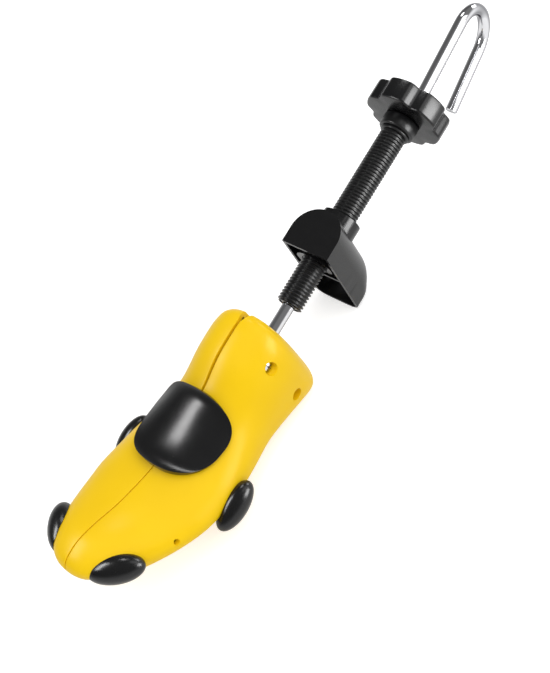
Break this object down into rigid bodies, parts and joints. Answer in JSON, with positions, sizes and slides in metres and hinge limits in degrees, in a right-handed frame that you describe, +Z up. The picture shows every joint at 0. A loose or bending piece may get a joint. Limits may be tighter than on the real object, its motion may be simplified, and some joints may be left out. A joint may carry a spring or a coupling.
{
  "type": "two-way shoe stretcher",
  "caption": "Two-way shoe stretcher: a split last that spreads on a hinge, a hooked screw rod, a threaded tube with a lobed knob, and a sliding heel block.",
  "frame": {"origin": "centre of the bounding box's base, on the ground that the last and the heel block stand on", "axes": "+X towards the hook, +Y towards the left half of the last, +Z up"},
  "size_m": [0.4304, 0.1024, 0.0968],
  "materials": {
    "yellow_plastic": "glossy warm yellow moulding",
    "black_plastic": "glossy black moulding",
    "chromed_steel": "bright chrome plate",
    "zinc_steel": "satin zinc plate",
    "brass": "turned",
    "white_nylon": "natural nylon"
  },
  "bodies": {
    "yoke": {"hinge_yoke": "zinc_steel", "hinge_pin_upper": "zinc_steel", "hinge_pin_lower": "zinc_steel", "rod_bush": "brass", "thrust_washer": "zinc_steel"},
    "half_right": {"last_half_right": "yellow_plastic", "hinge_leaf_right": "zinc_steel", "leaf_screw_right_upper": "chromed_steel", "leaf_screw_right_lower": "chromed_steel", "cam_track_right": "white_nylon", "ball_pad_right": "black_plastic", "toe_pad_right": "black_plastic"},
    "half_left": {"last_half_left": "yellow_plastic", "hinge_leaf_left": "zinc_steel", "leaf_screw_left_upper": "chromed_steel", "leaf_screw_left_lower": "chromed_steel", "cam_track_left": "white_nylon", "ball_pad_left": "black_plastic", "toe_pad_left": "black_plastic"},
    "rod": {"hook_rod": "chromed_steel", "rod_collar_front": "zinc_steel", "rod_collar_rear": "zinc_steel", "rod_end_nut": "zinc_steel", "tube_stop_ring": "zinc_steel", "rod_clip": "zinc_steel"},
    "crosshead": {"spreader_crosshead": "zinc_steel", "follower_pin_right": "chromed_steel", "follower_pin_left": "chromed_steel"},
    "saddle": {"instep_saddle": "black_plastic"},
    "length_screw": {"length_tube": "black_plastic", "length_knob": "black_plastic", "knob_ring": "zinc_steel"},
    "heel_block": {"heel_block": "black_plastic"}
  },
  "joints": [
    {"name": "rod_turn", "type": "hinge", "parent": "yoke", "child": "rod", "pos_m": [-0.04686, 0, 0.03839], "axis": [0.9823, 0, 0.1872], "range_deg": [0, 7560]},
    {"name": "half_right_swing", "type": "hinge", "parent": "yoke", "child": "half_right", "pos_m": [-0.04686, 0, 0.03839], "axis": [-0.1872, 0, 0.9823], "range_deg": [0, 15]},
    {"name": "half_left_swing", "type": "hinge", "parent": "yoke", "child": "half_left", "pos_m": [-0.04686, 0, 0.03839], "axis": [0.1872, 0, -0.9823], "range_deg": [0, 15]},
    {"name": "crosshead_slide", "type": "slide", "parent": "yoke", "child": "crosshead", "axis": [-0.9823, 0, -0.1872], "range_m": [0, 0.02625]},
    {"name": "saddle_slide", "type": "slide", "parent": "yoke", "child": "saddle", "axis": [-0.1872, 0, 0.9823], "range_m": [0, 0.0115]},
    {"name": "length_turn", "type": "hinge", "parent": "yoke", "child": "length_screw", "pos_m": [-0.04686, 0, 0.03839], "axis": [0.9823, 0, 0.1872], "range_deg": [-5040, 9360]},
    {"name": "heel_slide", "type": "slide", "parent": "yoke", "child": "heel_block", "axis": [0.9823, 0, 0.1872], "range_m": [-0.0315, 0.0585]}
  ],
  "couplings": [
    {"joint": "rod_turn", "follows": "crosshead_slide", "rad_per_m": 5026.5},
    {"joint": "half_right_swing", "follows": "crosshead_slide", "rad_per_m": 9.9733},
    {"joint": "half_left_swing", "follows": "crosshead_slide", "rad_per_m": 9.9733},
    {"joint": "saddle_slide", "follows": "crosshead_slide", "ratio": 0.43809},
    {"joint": "length_turn", "follows": "heel_slide", "rad_per_m": 2792.5}
  ]
}
